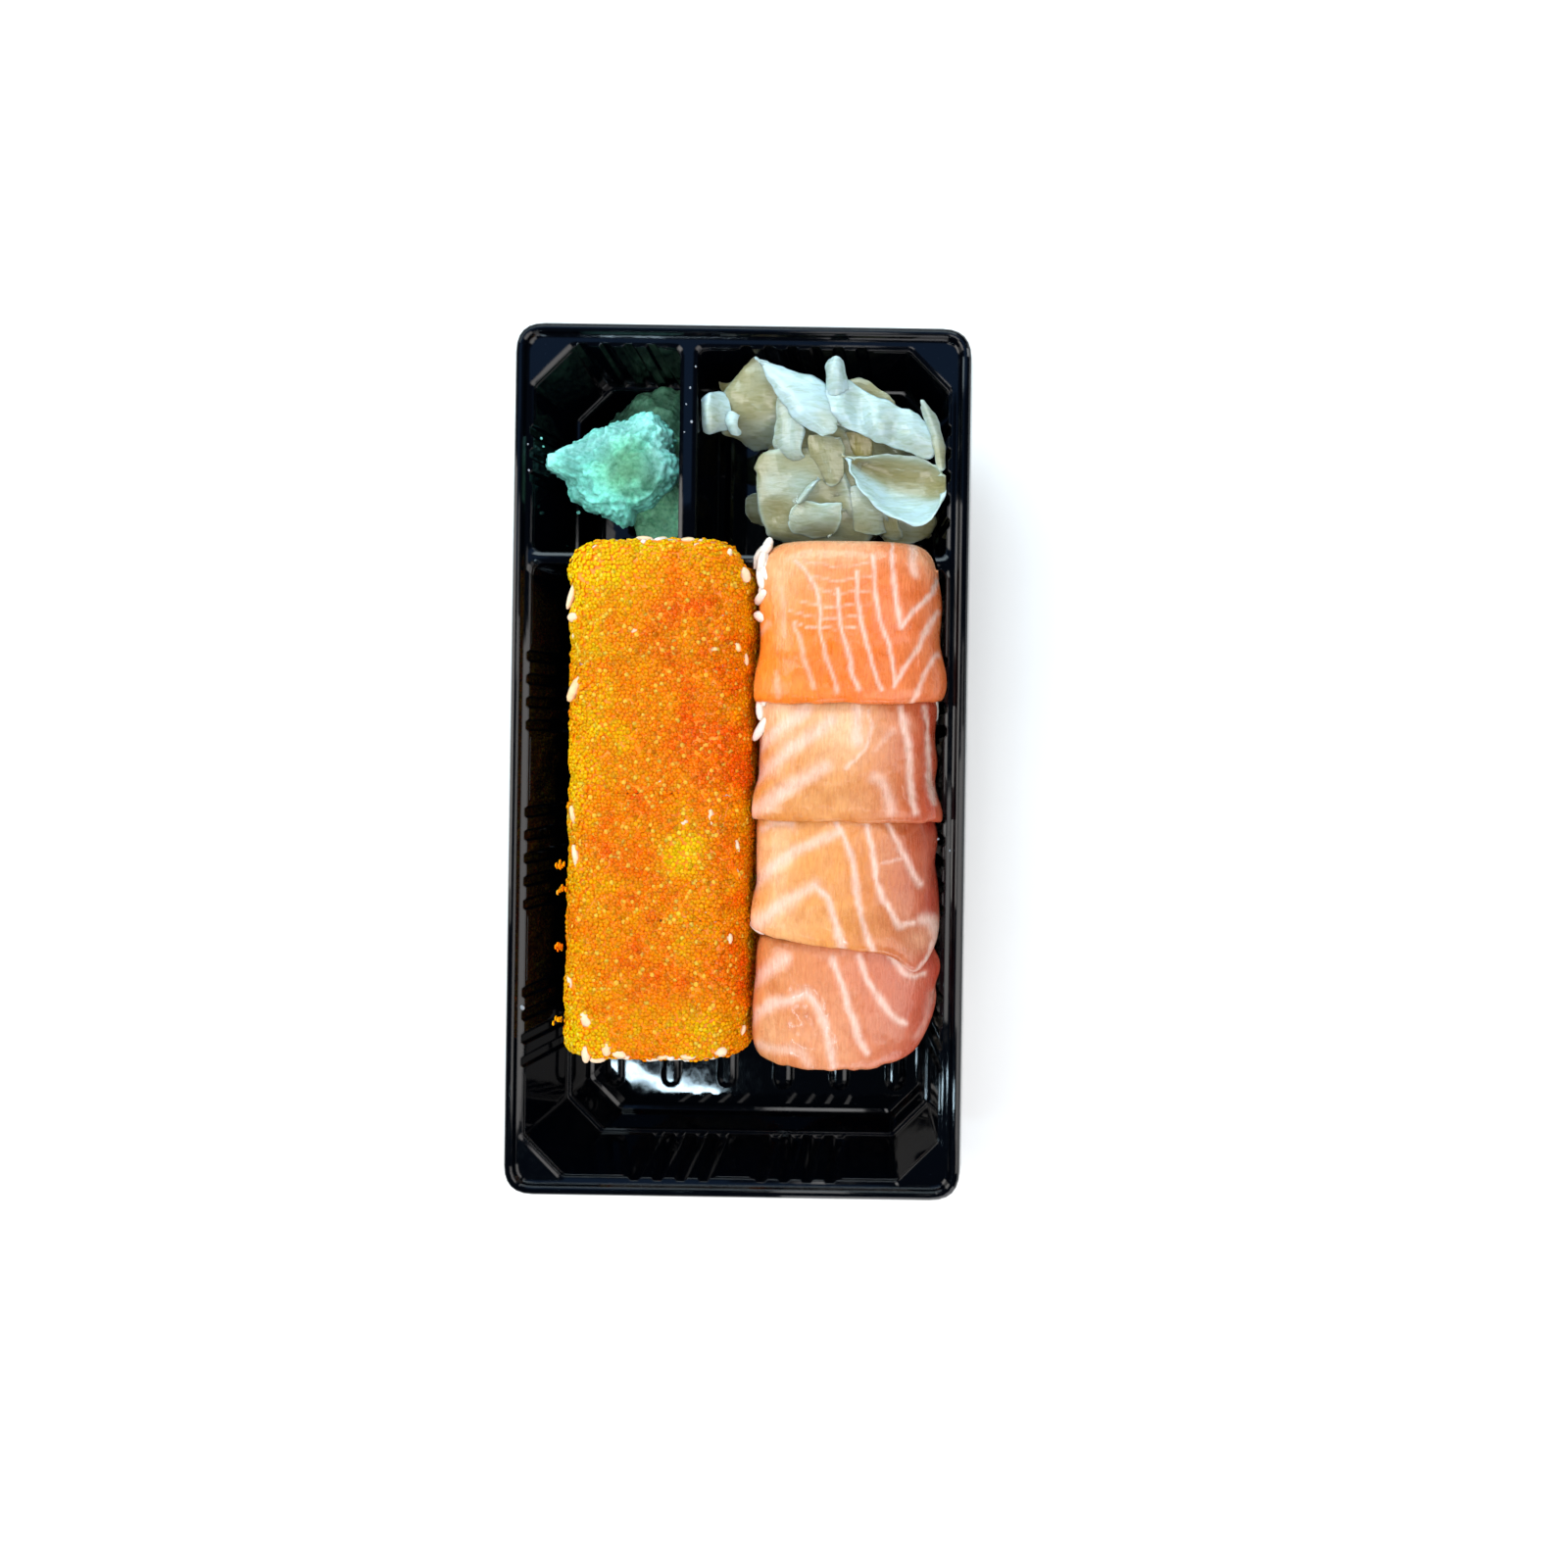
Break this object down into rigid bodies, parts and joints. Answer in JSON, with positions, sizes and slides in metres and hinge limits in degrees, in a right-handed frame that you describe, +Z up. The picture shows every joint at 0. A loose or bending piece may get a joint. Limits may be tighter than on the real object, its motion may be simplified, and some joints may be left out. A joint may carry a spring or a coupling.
{
  "type": "takeaway sushi tray",
  "caption": "Black moulded takeaway tray with rolls in the large compartment, and a wasabi lump and heaped pickled ginger in the small ones.",
  "frame": {"origin": "on the table, under the middle of the tray's outline", "axes": "+Y along the tray's length, to the end with the wasabi and the ginger; +Z up; +X across the tray, to the salmon rolls' side"},
  "size_m": [0.097, 0.185, 0.0404],
  "materials": {
    "black_plastic": "glossy black thermoformed sheet",
    "roe_and_rice": "moist orange fish roe over white rice",
    "rice": "sticky cooked white rice",
    "salmon": "moist raw salmon with pale fat lines",
    "wasabi": "matte granular green paste",
    "ginger": "moist translucent pickled slices"
  },
  "bodies": {
    "root": {"tray": "black_plastic", "roe_roll_1": "roe_and_rice", "roe_roll_2": "roe_and_rice", "roe_roll_3": "roe_and_rice", "roe_roll_4": "roe_and_rice", "salmon_roll_rice_1": "rice", "salmon_roll_rice_2": "rice", "salmon_roll_rice_3": "rice", "salmon_roll_rice_4": "rice", "salmon_slice_1": "salmon", "salmon_slice_2": "salmon", "salmon_slice_3": "salmon", "salmon_slice_4": "salmon", "wasabi": "wasabi", "pickled_ginger": "ginger"}
  },
  "joints": []
}
